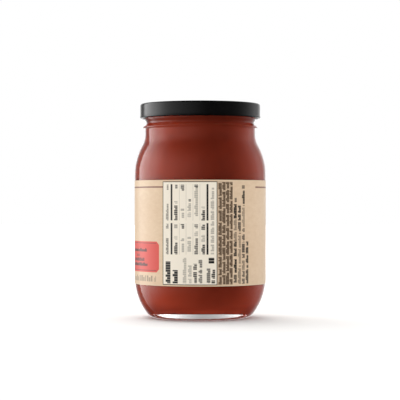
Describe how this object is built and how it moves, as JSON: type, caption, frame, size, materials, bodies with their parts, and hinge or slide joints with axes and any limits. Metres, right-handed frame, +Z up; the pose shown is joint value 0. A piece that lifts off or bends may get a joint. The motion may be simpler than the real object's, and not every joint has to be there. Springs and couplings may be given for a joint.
{
  "type": "chili sauce jar",
  "caption": "Round clear glass jar filled with red chili sauce, with a black twist-off metal lid and a brown paper wrap, standing on its foot ring",
  "frame": {"origin": "middle of the foot ring, on the surface that the jar stands on", "axes": "+Z up along the jar's axis, -Y towards the side with the panel of small print, +X to that side's right"},
  "size_m": [0.079, 0.079, 0.1284],
  "materials": {
    "glass": "clear flint glass, polished",
    "sauce": "smooth thick red sauce, wet against the glass",
    "paper": "matt brown uncoated paper with dark print blocks",
    "lid": "black lacquered sheet steel, semi-gloss"
  },
  "bodies": {
    "root": {"glass_jar": "glass", "sauce": "sauce", "paper_label": "paper", "lid": "lid"}
  },
  "joints": []
}
